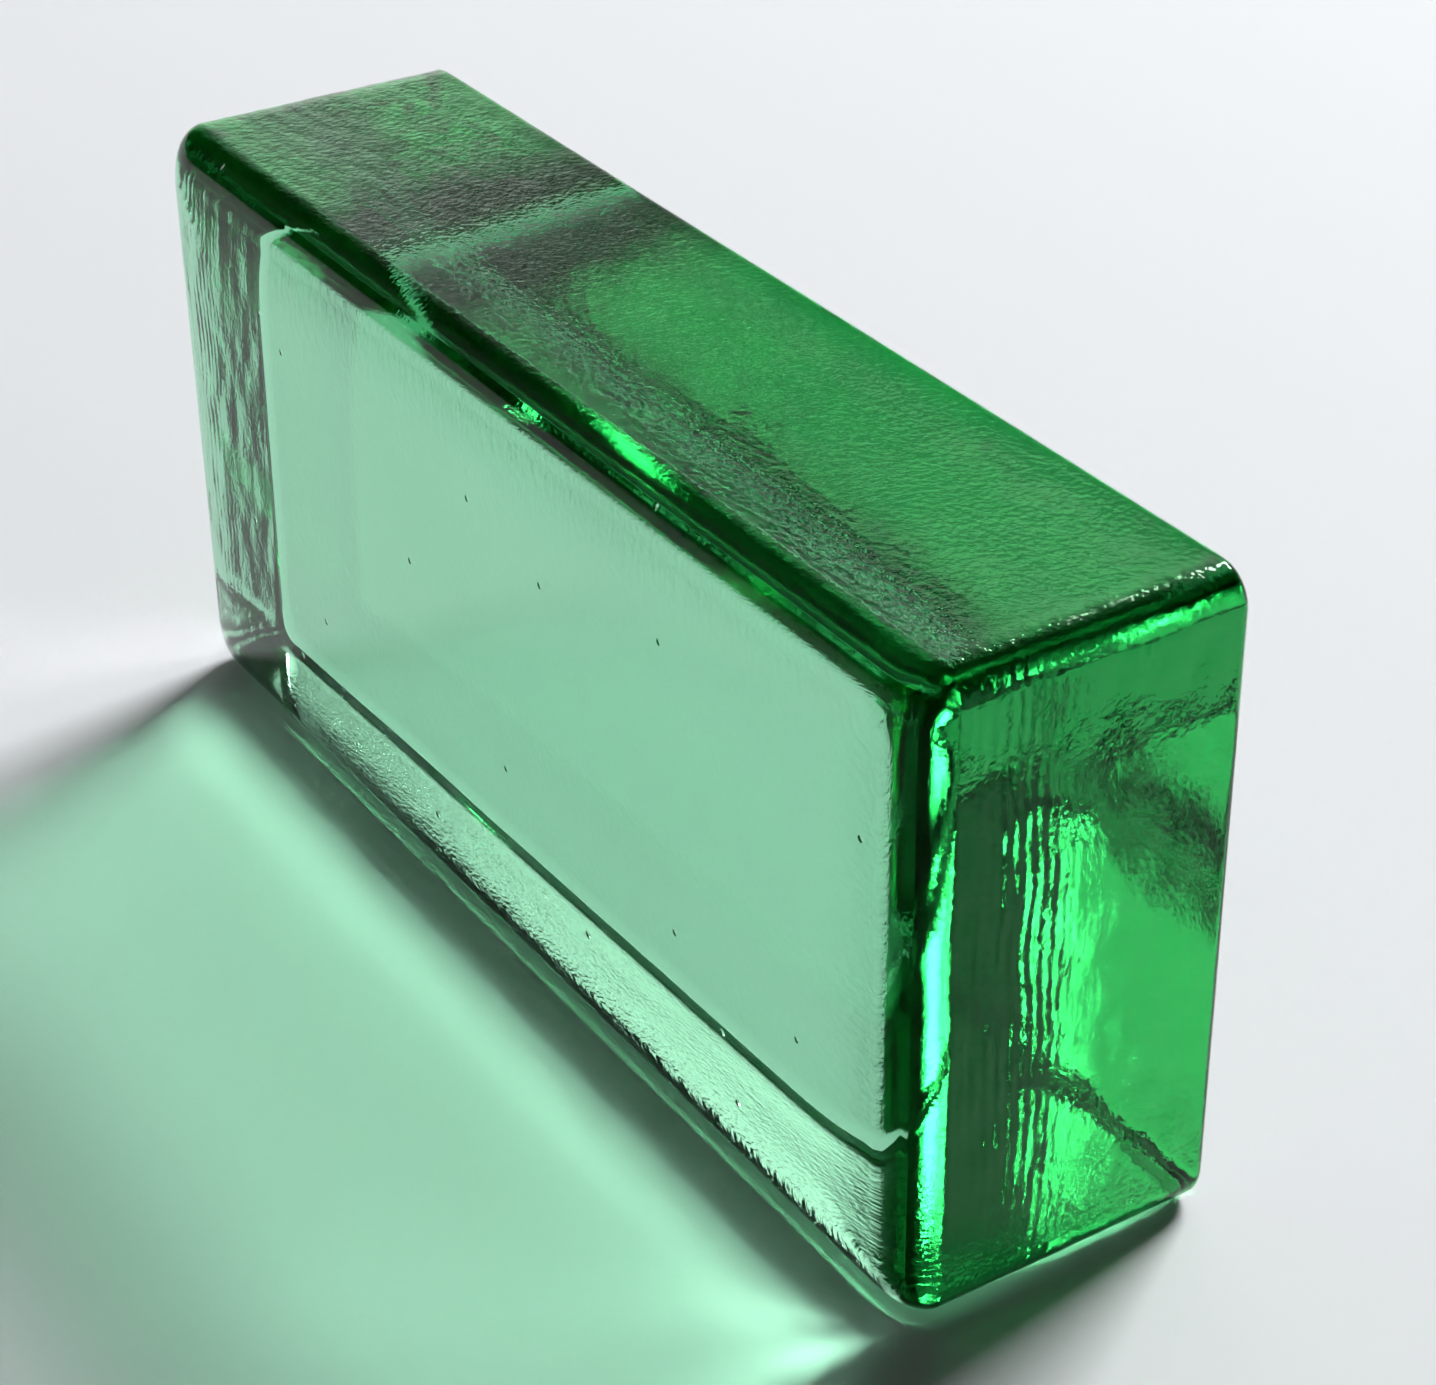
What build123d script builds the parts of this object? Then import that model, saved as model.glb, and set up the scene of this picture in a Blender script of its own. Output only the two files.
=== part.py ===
"""Solid glass brick, poured hot into an open mould and standing on one long narrow side.

The brick is one piece. The four narrow sides and the back took their shape from the mould. The front
was the free surface of the pour: the flame and the glass's own surface tension drew its edges round,
so they are softer than the edges against the mould floor.

Frame: +X along the length, +Y from the polished front to the mould-floor back, +Z up.
The origin is the centre of the side that the brick stands on. Sizes are in millimetres.
"""

import os

from build123d import *

# Overall size
length = 240.0
depth = 60.0
height = 115.0

# Rounding of the edges
mould_corner_radius = 6.0  # the four upright corners of the mould, running front to back
polished_edge_radius = 8.5  # round the free surface, at the front
mould_floor_radius = 2.5  # round the mould floor, at the back

# The free surface faces -Y, and its middle is half the height above the floor
free_surface = Plane(origin=(0, -depth / 2, height / 2), x_dir=(1, 0, 0), z_dir=(0, -1, 0))

with BuildPart() as glass_brick:
    # The mould's outline, filled to the brick's depth
    with BuildSketch(free_surface):
        RectangleRounded(length, height, mould_corner_radius)
    extrude(amount=-depth)

    # The edge that the mould floor leaves, at the back
    mould_floor = glass_brick.faces().sort_by(Axis.Y)[-1]
    fillet(mould_floor.edges(), radius=mould_floor_radius)

    # The fire-polished edge, at the front
    polished_face = glass_brick.faces().sort_by(Axis.Y)[0]
    fillet(polished_face.edges(), radius=polished_edge_radius)

glass_brick.part.label = "glass_brick"

os.makedirs("parts", exist_ok=True)
export_step(glass_brick.part, "parts/glass_brick.step")
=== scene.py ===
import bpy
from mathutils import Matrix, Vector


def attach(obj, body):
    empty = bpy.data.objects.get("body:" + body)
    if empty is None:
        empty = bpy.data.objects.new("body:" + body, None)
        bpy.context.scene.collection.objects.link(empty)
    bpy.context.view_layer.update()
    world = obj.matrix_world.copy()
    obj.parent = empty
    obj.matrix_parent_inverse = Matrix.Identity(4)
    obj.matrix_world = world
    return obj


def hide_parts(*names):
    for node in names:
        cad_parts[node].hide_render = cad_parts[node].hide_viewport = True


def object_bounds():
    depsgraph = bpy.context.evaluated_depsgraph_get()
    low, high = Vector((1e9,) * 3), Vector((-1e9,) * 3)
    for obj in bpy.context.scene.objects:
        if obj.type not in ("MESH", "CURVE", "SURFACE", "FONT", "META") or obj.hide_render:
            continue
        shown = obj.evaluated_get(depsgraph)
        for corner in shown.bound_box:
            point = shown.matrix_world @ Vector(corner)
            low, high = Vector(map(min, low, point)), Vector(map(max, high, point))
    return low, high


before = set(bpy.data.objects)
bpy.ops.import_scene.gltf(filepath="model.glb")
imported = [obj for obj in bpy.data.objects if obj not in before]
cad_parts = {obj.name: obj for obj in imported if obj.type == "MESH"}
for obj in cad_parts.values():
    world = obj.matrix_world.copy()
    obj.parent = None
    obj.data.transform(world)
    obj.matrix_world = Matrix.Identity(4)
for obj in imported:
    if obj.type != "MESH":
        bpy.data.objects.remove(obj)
cad_box = [list(corner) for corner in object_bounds()]

import math

import bmesh
import bpy
from mathutils import Matrix, Vector, noise

MM = 0.001
NEGLIGIBLE = 1e-6

# The brick's own sizes, in millimetres: the extents from the frame, the radii as in the part's source
LENGTH, DEPTH, HEIGHT = (round((high - low) / MM, 3) for low, high in zip(*cad_box))
MOULD_CORNER_RADIUS = 6.0
POLISHED_EDGE_RADIUS = 8.5
MOULD_FLOOR_RADIUS = 2.5

# How many strips the poured surface has along the length, the depth and the height
COLUMNS = 110
ROWS = 190
COURSES = 80

# Chill ripples beside the free surface, in millimetres
RIPPLE_PITCH = 2.1
RIPPLE_START = 8.0
RIPPLE_FULL = 12.0
RIPPLE_FADE_SHARE = 0.6
SIDE_RIPPLE_REACH = 26.0
SIDE_RIPPLE_HEIGHT = 0.010
END_RIPPLE_REACH = 36.0
END_RIPPLE_HEIGHT = 0.022

# Other waves of the poured surface, as heights in millimetres
SWELL_HEIGHT = 0.06
SMALL_SWELL_HEIGHT = 0.02
CALM_HEIGHT = 0.05
LUMP_HEIGHT = 0.13
WISP_HEIGHT = 0.02
THREAD_HEIGHT = 0.02
FLOW_HEIGHT = 0.03
HAMMERED_HEIGHT = 0.1
WATER_HEIGHT = 0.1
LIP_HEIGHT = 0.17
UNDERSIDE_SHARE = 0.22

# The left end's draft and the sunken rim of the free surface, in millimetres
DRAFT_DEPTH = 2.6
RIM_DEPTH = 1.0
RIM_REACH = 18.0
LOWER_RIM_SHARE = 0.8

# Finish of the glass: real sizes in millimetres
FREE_SURFACE_END = -27.0
MOULD_START = -22.0
FLOOR_FROST_SHARE = 0.45
UPPER_FROST = 1.9
UPPER_FROST_START = 5.0
UPPER_FROST_FULL = 2.0
GRAIN_SIZE = 1.2
GRAIN_HEIGHT = 0.06
SEED_SPACING = 36.0
SEED_RADIUS = 0.72
SEED_DEPTH = 0.3
POLISHED_ROUGHNESS = 0.006
MOULD_ROUGHNESS = 0.03

# The pale set: distances in metres
BACKDROP_COLOUR = "#f1f1f1"
BACKDROP_NEAR = 0.5
BACKDROP_FAR = 1.3
FLOOR_RADIUS = 9.0
FLOOR_DROP = 0.2 * MM

# The window of light, in metres and watts
WINDOW_PLACE = (-1.247, 3.622, 3.214)
WINDOW_TARGET = (0.0, 0.0, 0.05)
WINDOW_SIZE = (1.6, 1.4)
WINDOW_POWER = 328.0
WINDOW_COLOUR = "#fdfeff"

# The room's glow, where a strength of 1 is white
REAR_GLOW = 1.75
LEFT_GLOW = 1.15
HIGH_GLOW_SHARE = 0.6
ROOM_GLOW = 0.008
FRONT_GLOW = 0.22
FRONT_GLOW_WAY = (-0.63, -0.49, 0.60)
RIGHT_GLOW = 1.1
RIGHT_GLOW_WAY = (0.80, 0.33, 0.50)

# The camera, from the brick's outline in the photograph: millimetres and degrees
CAMERA_PLACE = (423.1, -254.0, 347.8)
CAMERA_YAW = 57.45
CAMERA_PITCH = 31.68
CAMERA_ROLL = -0.66
CAMERA_LENS = 83.95
CAMERA_SENSOR = 36.0
CAMERA_NEAREST = 0.01


def linear(hex_colour):
    """An sRGB hex colour as linear red, green, blue and alpha."""
    channels = [int(hex_colour[i:i + 2], 16) / 255 for i in (1, 3, 5)]
    return [c / 12.92 if c <= 0.04045 else ((c + 0.055) / 1.055) ** 2.4 for c in channels] + [1.0]


def ease(low, high, value):
    """0 below low, 1 above high, and a smooth step between them."""
    share = min(max((value - low) / (high - low), 0.0), 1.0)
    return share * share * (3.0 - 2.0 * share)


def waves(place, span, shift=(0.0, 0.0, 0.0)):
    """Smooth noise between about -1 and 1, whose waves span so many millimetres along each axis."""
    return noise.noise(Vector([p / s for p, s in zip(place, span)]) + Vector(shift))


def add_node(tree, kind, settings=None, links=None):
    """Adds one node, sets its sockets and properties by name, and links its inputs."""
    node = tree.nodes.new(kind)
    for name, value in (settings or {}).items():
        if isinstance(name, str) and hasattr(node, name):
            setattr(node, name, value)
        else:
            node.inputs[name].default_value = value
    for name, source in (links or {}).items():
        tree.links.new(source, node.inputs[name])
    return node


# The poured brick

def round_edge(inset, along, radius):
    """Rounds one edge of the depth profile: inset runs in from the wall, along runs in from the face."""
    hub_inset = max(inset, radius)
    hub_along = max(along, radius)
    arm = Vector((inset - hub_inset, along - hub_along)).normalized() * radius
    return hub_inset + arm.x, hub_along + arm.y


def round_corner(x, z, inset, radius):
    """Rounds the mould's corners on the outline that lies so far in from the walls."""
    reach_x = LENGTH / 2 - inset - radius
    reach_z = HEIGHT / 2 - inset - radius
    hub_x = min(max(x, -reach_x), reach_x)
    hub_z = min(max(z, -reach_z), reach_z)
    arm = Vector((x - hub_x, z - hub_z))
    if min(abs(arm.x), abs(arm.y)) < NEGLIGIBLE:
        return x, z
    arm = arm.normalized() * max(abs(arm.x), abs(arm.y))
    return hub_x + arm.x, hub_z + arm.y


def on_rounded_brick(point):
    """Where a point of the sharp block lies once its edges are rounded."""
    x, y, z = point.x, point.y, point.z - HEIGHT / 2
    half_x, half_y, half_z = LENGTH / 2, DEPTH / 2, HEIGHT / 2
    wall = min(half_x - abs(x), half_z - abs(z))
    if y < 0:
        inset, from_front = round_edge(wall, y + half_y, POLISHED_EDGE_RADIUS)
        y = from_front - half_y
    else:
        inset, from_back = round_edge(wall, half_y - y, MOULD_FLOOR_RADIUS)
        y = half_y - from_back
    x *= (half_x - inset) / max(half_x - wall, NEGLIGIBLE)
    z *= (half_z - inset) / max(half_z - wall, NEGLIGIBLE)
    # The corners fade out over the flat faces, and never pass the middle of the height
    corner = MOULD_CORNER_RADIUS * (1.0 - ease(10.0, 40.0, inset))
    corner = min(corner, 0.95 * max(half_z - inset, 0.0))
    if corner > NEGLIGIBLE:
        x, z = round_corner(x, z, inset, corner)
    return Vector((x, y, z + half_z))


def ripples(place, reach, height):
    """Chill ripples: fine steps that run round the narrow sides beside the free surface."""
    from_front = place.y + DEPTH / 2
    wander = 1.6 * waves(place, span=(34, 13, 34))
    wander += 0.9 * waves(place, span=(14, 11, 7), shift=(7, 3, 1))
    patch = 0.8 + 0.5 * waves(place, span=(30, 14, 30), shift=(2, 9, 4))
    fade = 1.0 - ease(RIPPLE_FADE_SHARE * reach, reach, from_front)
    band = ease(RIPPLE_START, RIPPLE_FULL, from_front) * fade
    return height * band * patch * math.sin(2 * math.pi * (from_front + wander) / RIPPLE_PITCH)


def lumps(place):
    """Wisps and lumps that the glass took on as it rose up the mould's two ends."""
    on_end = Vector((place.y, place.z, 0.0))
    which_end = 0.4 if place.x > 0 else 7.4
    wisp = waves(on_end, span=(3.4, 13, 1), shift=(0, 0, which_end))
    lump = waves(on_end, span=(5.5, 6.5, 1), shift=(0, 0, which_end + 3.2))
    thread = waves(on_end, span=(2.2, 3.1, 1), shift=(0, 0, which_end + 6.1))
    return WISP_HEIGHT * wisp + LUMP_HEIGHT * lump + THREAD_HEIGHT * thread


def draft(place):
    """How far the left end draws in towards the mould floor."""
    if place.x > 0:
        return 0.0
    return DRAFT_DEPTH * ease(-25.0, 70.0, place.y)


def peel(place):
    """Hammered skin on the long sides: coarse at the left, calm in the middle, rippled at the back right."""
    flow = FLOW_HEIGHT * waves(place, span=(11, 4.6, 13), shift=(3, 1, 8))
    at_left = 1.0 - ease(-70.0, 10.0, place.x)
    hammered = HAMMERED_HEIGHT * at_left * waves(place, span=(6.5, 3.2, 5), shift=(3, 1, 8))
    at_back_right = ease(-10.0, 40.0, place.x) * ease(2.0, 14.0, place.y)
    patch = max(0.0, 0.25 + 1.1 * waves(place, span=(22, 12, 30)))
    water = WATER_HEIGHT * at_back_right * patch * waves(place, span=(5.0, 2.6, 5), shift=(6, 0, 5))
    # A low lip beside the mould floor, feathered by the flow
    feather = 2.6 * waves(place, span=(13, math.inf, 40), shift=(0, 4.3, 0))
    feather += 1.2 * waves(place, span=(3.1, 6, math.inf), shift=(0, 0, 2.7))
    lip = LIP_HEIGHT * ease(-45.0, 10.0, place.x) * ease(13.0 + feather, 22.0 + feather, place.y)
    return flow + hammered + water + lip


def sunken_rim(place):
    """How far the free surface has sunk beside its rounded edges, less widely along the bottom."""
    from_bottom = place.z / LOWER_RIM_SHARE
    from_edge = min(LENGTH / 2 - abs(place.x), from_bottom, HEIGHT - place.z) - POLISHED_EDGE_RADIUS
    share = min(max(1.0 - from_edge / RIM_REACH, 0.0), 1.0)
    return RIM_DEPTH * share ** 3


def relief(place, outward):
    """Height of the surface's own waves at a place, in millimetres."""
    swell = SWELL_HEIGHT * waves(place, span=(36, 18, 36), shift=(5, 5, 2))
    swell += SMALL_SWELL_HEIGHT * waves(place, span=(12, 9, 12), shift=(1, 4, 6))
    # The mould's own marks start behind the rounded edge of the free surface
    mould = ease(3.0, 9.0, place.y + DEPTH / 2)
    skin = peel(place) * (1.0 if place.z > HEIGHT / 2 else UNDERSIDE_SHARE)
    long_side = ripples(place, SIDE_RIPPLE_REACH, SIDE_RIPPLE_HEIGHT) + mould * skin
    short_end = ripples(place, END_RIPPLE_REACH, END_RIPPLE_HEIGHT) + mould * lumps(place) - draft(place)
    sides = abs(outward.z) * long_side + abs(outward.x) * short_end + swell
    # The mould floor and the free surface are calmer
    calm = CALM_HEIGHT * waves(place, span=(30, 30, 30))
    if outward.y < 0:
        calm -= sunken_rim(place)
    share = abs(outward.y)
    return (1.0 - share) * sides + share * calm


def cast_brick():
    """The brick as one closed, finely divided skin that stays inside the block's own box."""
    bm = bmesh.new()
    bmesh.ops.create_cube(bm, size=1.0)
    bmesh.ops.scale(bm, vec=(LENGTH, DEPTH, HEIGHT), verts=bm.verts)
    bmesh.ops.translate(bm, vec=(0, 0, HEIGHT / 2), verts=bm.verts)
    for axis, strips in ((0, COLUMNS), (1, ROWS), (2, COURSES)):
        along = [e for e in bm.edges if abs(e.verts[0].co[axis] - e.verts[1].co[axis]) > NEGLIGIBLE]
        bmesh.ops.subdivide_edges(bm, edges=along, cuts=strips - 1)
    for vert in bm.verts:
        vert.co = on_rounded_brick(vert.co)
    bm.normal_update()
    heights = [relief(vert.co, vert.normal) for vert in bm.verts]
    crest = max(heights)
    for vert, height in zip(bm.verts, heights):
        vert.co += vert.normal * (height - crest)
    bmesh.ops.scale(bm, vec=(MM, MM, MM), verts=bm.verts)
    for face in bm.faces:
        face.smooth = True
    mesh = bpy.data.meshes.new("cast_brick")
    bm.to_mesh(mesh)
    bm.free()
    return bpy.data.objects.new("cast_brick", mesh)


def cast_glass():
    """Bottle-green soda-lime glass, cast hot: clear inside, bright in front, faintly frosted by the mould."""
    material = bpy.data.materials.new("cast_green_glass")
    material.use_nodes = True
    tree = material.node_tree
    tree.nodes.clear()
    place = add_node(tree, "ShaderNodeTexCoord")
    parts = add_node(tree, "ShaderNodeSeparateXYZ", links={0: place.outputs["Object"]})
    # The narrow sides took the mould's grain, its floor took half of it, and the free surface is bright
    behind = add_node(tree, "ShaderNodeMapRange", {
        "From Min": FREE_SURFACE_END * MM, "From Max": MOULD_START * MM, "To Min": 0.0, "To Max": 1.0,
    }, {"Value": parts.outputs["Y"]})
    before = add_node(tree, "ShaderNodeMapRange", {
        "From Min": -FREE_SURFACE_END * MM, "From Max": -MOULD_START * MM,
        "To Min": FLOOR_FROST_SHARE, "To Max": 1.0,
    }, {"Value": parts.outputs["Y"]})
    sides = add_node(tree, "ShaderNodeMath", {"operation": "MULTIPLY"},
                     {0: behind.outputs[0], 1: before.outputs[0]})
    shine = add_node(tree, "ShaderNodeMapRange", {"To Min": POLISHED_ROUGHNESS, "To Max": MOULD_ROUGHNESS},
                     {"Value": sides.outputs[0]})
    # The mould's grain, strongest on top. The real one is finer than a pixel, so it is drawn coarser to show
    grain = add_node(tree, "ShaderNodeTexNoise", {"Scale": 1 / (GRAIN_SIZE * MM), "Detail": 2.0},
                     {"Vector": place.outputs["Object"]})
    upper = add_node(tree, "ShaderNodeMapRange", {
        "From Min": (HEIGHT - UPPER_FROST_START) * MM, "From Max": (HEIGHT - UPPER_FROST_FULL) * MM,
        "To Min": 1.0, "To Max": UPPER_FROST,
    }, {"Value": parts.outputs["Z"]})
    frost = add_node(tree, "ShaderNodeMath", {"operation": "MULTIPLY"},
                     {0: sides.outputs[0], 1: upper.outputs[0]})
    satin = add_node(tree, "ShaderNodeMath", {"operation": "MULTIPLY"},
                     {0: frost.outputs[0], 1: grain.outputs[0]})
    # A few seeds: bubbles that opened in the free surface as tiny pits
    front = add_node(tree, "ShaderNodeCombineXYZ", links={"X": parts.outputs["X"], "Y": parts.outputs["Z"]})
    seed = add_node(tree, "ShaderNodeTexVoronoi", {
        "voronoi_dimensions": "2D", "Scale": 1 / (SEED_SPACING * MM),
    }, {"Vector": front.outputs[0]})
    pit = add_node(tree, "ShaderNodeMapRange", {
        "interpolation_type": "SMOOTHSTEP", "From Min": 0.0, "From Max": SEED_RADIUS / SEED_SPACING,
        "To Min": -SEED_DEPTH / GRAIN_HEIGHT, "To Max": 0.0,
    }, {"Value": seed.outputs["Distance"]})
    free = add_node(tree, "ShaderNodeMath", {"operation": "SUBTRACT", 0: 1.0}, {1: behind.outputs[0]})
    height = add_node(tree, "ShaderNodeMath", {"operation": "MULTIPLY_ADD"},
                      {0: pit.outputs[0], 1: free.outputs[0], 2: satin.outputs[0]})
    skin = add_node(tree, "ShaderNodeBump", {"Distance": GRAIN_HEIGHT * MM}, {"Height": height.outputs[0]})
    # The surface is clear: the green comes from absorption, so a longer way through is deeper green.
    # The specular tint holds reflections down, so that the pale set doesn't veil the green
    glass = add_node(tree, "ShaderNodeBsdfPrincipled", {
        "Base Color": (1.0, 1.0, 1.0, 1.0),
        "IOR": 1.52,
        "Specular Tint": linear("#303030"),
        "Transmission Weight": 1.0,
    }, {"Roughness": shine.outputs[0], "Normal": skin.outputs["Normal"]})
    tint = add_node(tree, "ShaderNodeVolumeAbsorption", {"Color": linear("#45e0a6"), "Density": 16.0})
    add_node(tree, "ShaderNodeOutputMaterial", links={
        "Surface": glass.outputs["BSDF"],
        "Volume": tint.outputs["Volume"],
    })
    return material


brick = cast_brick()
brick.data.materials.append(cast_glass())
bpy.context.scene.collection.objects.link(brick)
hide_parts("glass_brick")
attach(brick, "root")


# The pale floor

def seen_rays(tree):
    """1 for the rays of the camera, shine and glass, which see the pale backdrop, and 0 for the rest."""
    ray = add_node(tree, "ShaderNodeLightPath")
    mirrored = add_node(tree, "ShaderNodeMath", {"operation": "MAXIMUM"},
                        {0: ray.outputs["Is Glossy Ray"], 1: ray.outputs["Is Transmission Ray"]})
    seen = add_node(tree, "ShaderNodeMath", {"operation": "MAXIMUM"},
                    {0: ray.outputs["Is Camera Ray"], 1: mirrored.outputs[0]})
    return seen.outputs[0]


def pale_card():
    """Matt pale card, which runs out into the pale backdrop far from the brick."""
    material = bpy.data.materials.new("pale_card")
    # The backdrop is only seen and lights nothing, so Cycles need not sample it as a lamp
    material.cycles.emission_sampling = "NONE"
    material.use_nodes = True
    tree = material.node_tree
    tree.nodes.clear()
    card = add_node(tree, "ShaderNodeBsdfPrincipled", {
        "Base Color": linear("#e2e4e6"),
        "Roughness": 0.7,
        "Specular IOR Level": 0.2,
    })
    backdrop = add_node(tree, "ShaderNodeEmission", {"Color": linear(BACKDROP_COLOUR), "Strength": 1.0})
    place = add_node(tree, "ShaderNodeTexCoord")
    span = add_node(tree, "ShaderNodeVectorMath", {"operation": "LENGTH"}, {0: place.outputs["Object"]})
    far = add_node(tree, "ShaderNodeMapRange", {
        "interpolation_type": "SMOOTHSTEP", "From Min": BACKDROP_NEAR, "From Max": BACKDROP_FAR,
        "To Min": 0.0, "To Max": 1.0,
    }, {"Value": span.outputs["Value"]})
    far_seen = add_node(tree, "ShaderNodeMath", {"operation": "MULTIPLY"},
                        {0: far.outputs[0], 1: seen_rays(tree)})
    card_or_backdrop = add_node(tree, "ShaderNodeMixShader", links={
        0: far_seen.outputs[0],
        1: card.outputs["BSDF"],
        2: backdrop.outputs["Emission"],
    })
    add_node(tree, "ShaderNodeOutputMaterial", links={"Surface": card_or_backdrop.outputs["Shader"]})
    return material


def pale_floor():
    """A round sheet of the card, a hair below the brick."""
    bm = bmesh.new()
    bmesh.ops.create_circle(bm, cap_ends=True, segments=96, radius=FLOOR_RADIUS)
    bmesh.ops.translate(bm, vec=(0, 0, -FLOOR_DROP), verts=bm.verts)
    mesh = bpy.data.meshes.new("pale_floor")
    bm.to_mesh(mesh)
    bm.free()
    return bpy.data.objects.new("pale_floor", mesh)


floor = pale_floor()
floor.data.materials.append(pale_card())
bpy.context.scene.collection.objects.link(floor)


# Light: one large soft window of light behind the brick, and a dim room round it

def window_light():
    """A large soft panel behind the brick, a little to the left, which throws its shadow to the front."""
    lamp = bpy.data.lights.new("window_light", "AREA")
    lamp.shape = "RECTANGLE"
    lamp.size, lamp.size_y = WINDOW_SIZE
    lamp.energy = WINDOW_POWER
    lamp.color = linear(WINDOW_COLOUR)[:3]
    holder = bpy.data.objects.new("window_light", lamp)
    aim = (Vector(WINDOW_TARGET) - Vector(WINDOW_PLACE)).to_track_quat("-Z", "Y")
    holder.matrix_world = Matrix.Translation(WINDOW_PLACE) @ aim.to_matrix().to_4x4()
    return holder


def studio():
    """A dim room that glows at the rear left, with the pale backdrop low round the floor.

    Its ranges are parts of a unit direction, so a Z of 0.5 is 30 degrees up.
    """
    world = bpy.data.worlds.new("studio")
    world.use_nodes = True
    sky = world.node_tree
    sky.nodes.clear()
    way = add_node(sky, "ShaderNodeTexCoord")
    parts = add_node(sky, "ShaderNodeSeparateXYZ", links={0: way.outputs["Generated"]})
    # The rear glow starts above the backdrop, eases off higher up, and comes lower down at the far left
    above = add_node(sky, "ShaderNodeMapRange", {
        "interpolation_type": "SMOOTHSTEP", "From Min": 0.45, "From Max": 0.54, "To Min": 0.0, "To Max": 1.0,
    }, {"Value": parts.outputs["Z"]})
    below = add_node(sky, "ShaderNodeMapRange", {
        "interpolation_type": "SMOOTHSTEP", "From Min": 0.60, "From Max": 0.70,
        "To Min": 1.0, "To Max": HIGH_GLOW_SHARE,
    }, {"Value": parts.outputs["Z"]})
    band = add_node(sky, "ShaderNodeMath", {"operation": "MULTIPLY"},
                    {0: above.outputs[0], 1: below.outputs[0]})
    aside = add_node(sky, "ShaderNodeMapRange", {
        "interpolation_type": "SMOOTHSTEP", "From Min": -0.74, "From Max": -0.9,
        "To Min": 0.0, "To Max": LEFT_GLOW,
    }, {"Value": parts.outputs["X"]})
    panel = add_node(sky, "ShaderNodeMath", {"operation": "MAXIMUM"},
                     {0: band.outputs[0], 1: aside.outputs[0]})
    rear = add_node(sky, "ShaderNodeMapRange", {
        "interpolation_type": "SMOOTHSTEP", "From Min": 0.0, "From Max": 0.6,
        "To Min": 0.0, "To Max": REAR_GLOW,
    }, {"Value": parts.outputs["Y"]})
    left = add_node(sky, "ShaderNodeMapRange", {
        "interpolation_type": "SMOOTHSTEP", "From Min": 0.1, "From Max": -0.4, "To Min": 0.0, "To Max": 1.0,
    }, {"Value": parts.outputs["X"]})
    rear_left = add_node(sky, "ShaderNodeMath", {"operation": "MULTIPLY"},
                         {0: rear.outputs[0], 1: left.outputs[0]})
    # Two soft spots, at the front left and at the right, and a trace of light elsewhere
    front_near = add_node(sky, "ShaderNodeVectorMath", {"operation": "DOT_PRODUCT", 1: FRONT_GLOW_WAY},
                          {0: way.outputs["Generated"]})
    front = add_node(sky, "ShaderNodeMapRange", {
        "interpolation_type": "SMOOTHSTEP", "From Min": 0.93, "From Max": 0.985,
        "To Min": ROOM_GLOW, "To Max": FRONT_GLOW,
    }, {"Value": front_near.outputs["Value"]})
    right_near = add_node(sky, "ShaderNodeVectorMath", {"operation": "DOT_PRODUCT", 1: RIGHT_GLOW_WAY},
                          {0: way.outputs["Generated"]})
    right = add_node(sky, "ShaderNodeMapRange", {
        "interpolation_type": "SMOOTHSTEP", "From Min": 0.985, "From Max": 0.995,
        "To Min": 0.0, "To Max": RIGHT_GLOW,
    }, {"Value": right_near.outputs["Value"]})
    spots = add_node(sky, "ShaderNodeMath", {"operation": "ADD"}, {0: front.outputs[0], 1: right.outputs[0]})
    glow = add_node(sky, "ShaderNodeMath", {"operation": "MULTIPLY_ADD"},
                    {0: panel.outputs[0], 1: rear_left.outputs[0], 2: spots.outputs[0]})
    room = add_node(sky, "ShaderNodeBackground", {"Color": (1, 1, 1, 1)}, {"Strength": glow.outputs[0]})
    # The pale backdrop stands low round the floor, and the camera sees it all the way up
    backdrop = add_node(sky, "ShaderNodeBackground", {"Color": linear(BACKDROP_COLOUR), "Strength": 1.0})
    low = add_node(sky, "ShaderNodeMapRange", {
        "interpolation_type": "SMOOTHSTEP", "From Min": 0.18, "From Max": 0.1, "To Min": 0.0, "To Max": 1.0,
    }, {"Value": parts.outputs["Z"]})
    low_seen = add_node(sky, "ShaderNodeMath", {"operation": "MULTIPLY"},
                        {0: low.outputs[0], 1: seen_rays(sky)})
    ray = add_node(sky, "ShaderNodeLightPath")
    seen = add_node(sky, "ShaderNodeMath", {"operation": "MAXIMUM"},
                    {0: low_seen.outputs[0], 1: ray.outputs["Is Camera Ray"]})
    pick = add_node(sky, "ShaderNodeMixShader", links={
        0: seen.outputs[0],
        1: room.outputs["Background"],
        2: backdrop.outputs["Background"],
    })
    add_node(sky, "ShaderNodeOutputWorld", links={"Surface": pick.outputs["Shader"]})
    return world


bpy.context.scene.collection.objects.link(window_light())
bpy.context.scene.world = studio()


# The camera

def photo_camera():
    """The camera at the photograph's place, turned by its yaw, pitch and roll."""
    yaw, pitch, roll = (math.radians(angle) for angle in (CAMERA_YAW, CAMERA_PITCH, CAMERA_ROLL))
    ahead = Vector((-math.sin(yaw) * math.cos(pitch), math.cos(yaw) * math.cos(pitch), -math.sin(pitch)))
    level = Vector((math.cos(yaw), math.sin(yaw), 0))
    over = level.cross(ahead)
    rightward = level * math.cos(roll) + over * math.sin(roll)
    upward = over * math.cos(roll) - level * math.sin(roll)
    lens = bpy.data.cameras.new("camera")
    lens.sensor_width = CAMERA_SENSOR
    lens.lens = CAMERA_LENS
    lens.clip_start = CAMERA_NEAREST
    camera = bpy.data.objects.new("camera", lens)
    turn = Matrix((rightward, upward, -ahead)).transposed()
    camera.matrix_world = Matrix.Translation(Vector(CAMERA_PLACE) * MM) @ turn.to_4x4()
    return camera


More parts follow.
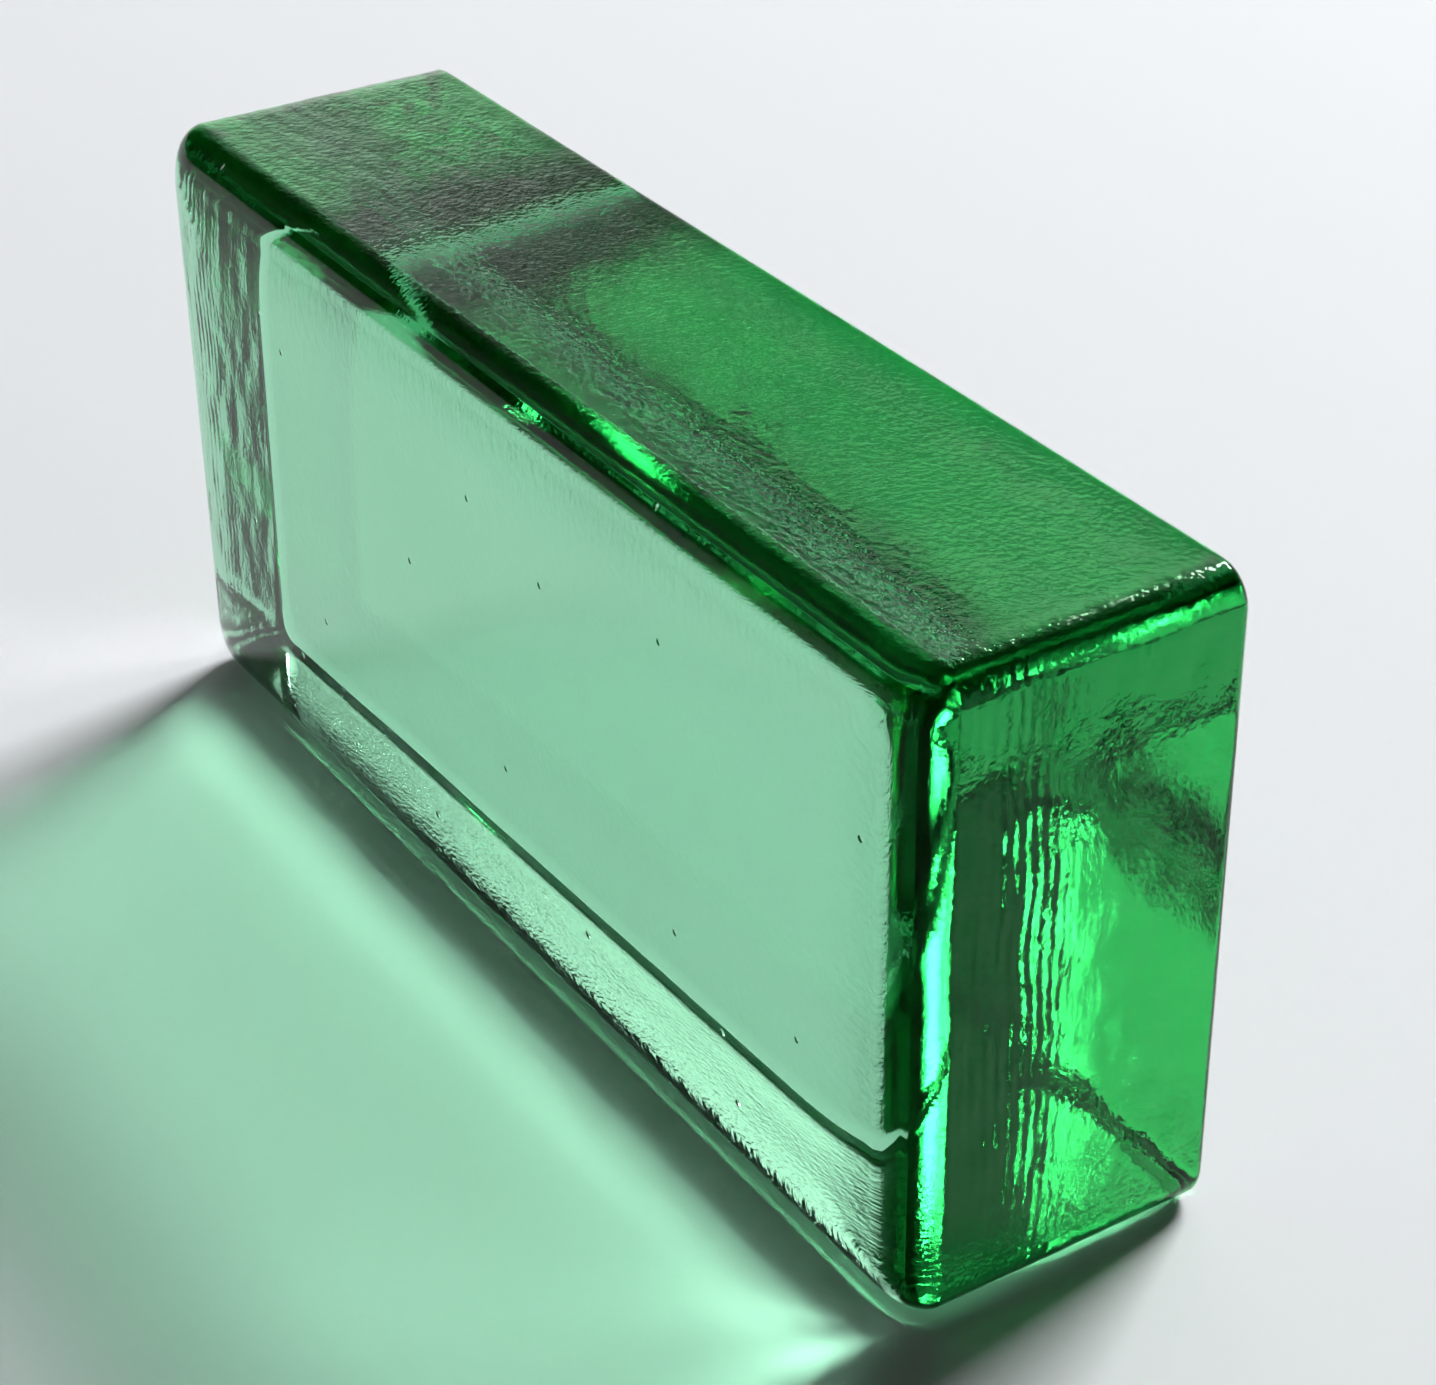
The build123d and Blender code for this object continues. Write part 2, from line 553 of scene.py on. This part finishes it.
camera = photo_camera()
bpy.context.scene.collection.objects.link(camera)
bpy.context.scene.camera = camera

scene = bpy.context.scene
scene.view_settings.view_transform = "Standard"

# Enough bounces for light that runs along the inside of the brick, and a light blur on its bright patch
scene.cycles.max_bounces = 14
scene.cycles.transmission_bounces = 14
scene.cycles.glossy_bounces = 12
scene.cycles.diffuse_bounces = 3
scene.cycles.sample_clamp_indirect = 40.0
scene.cycles.blur_glossy = 0.13
# Pixels that have settled stop early, which keeps a final render short
scene.cycles.adaptive_threshold = 0.15
scene.cycles.adaptive_min_samples = 16
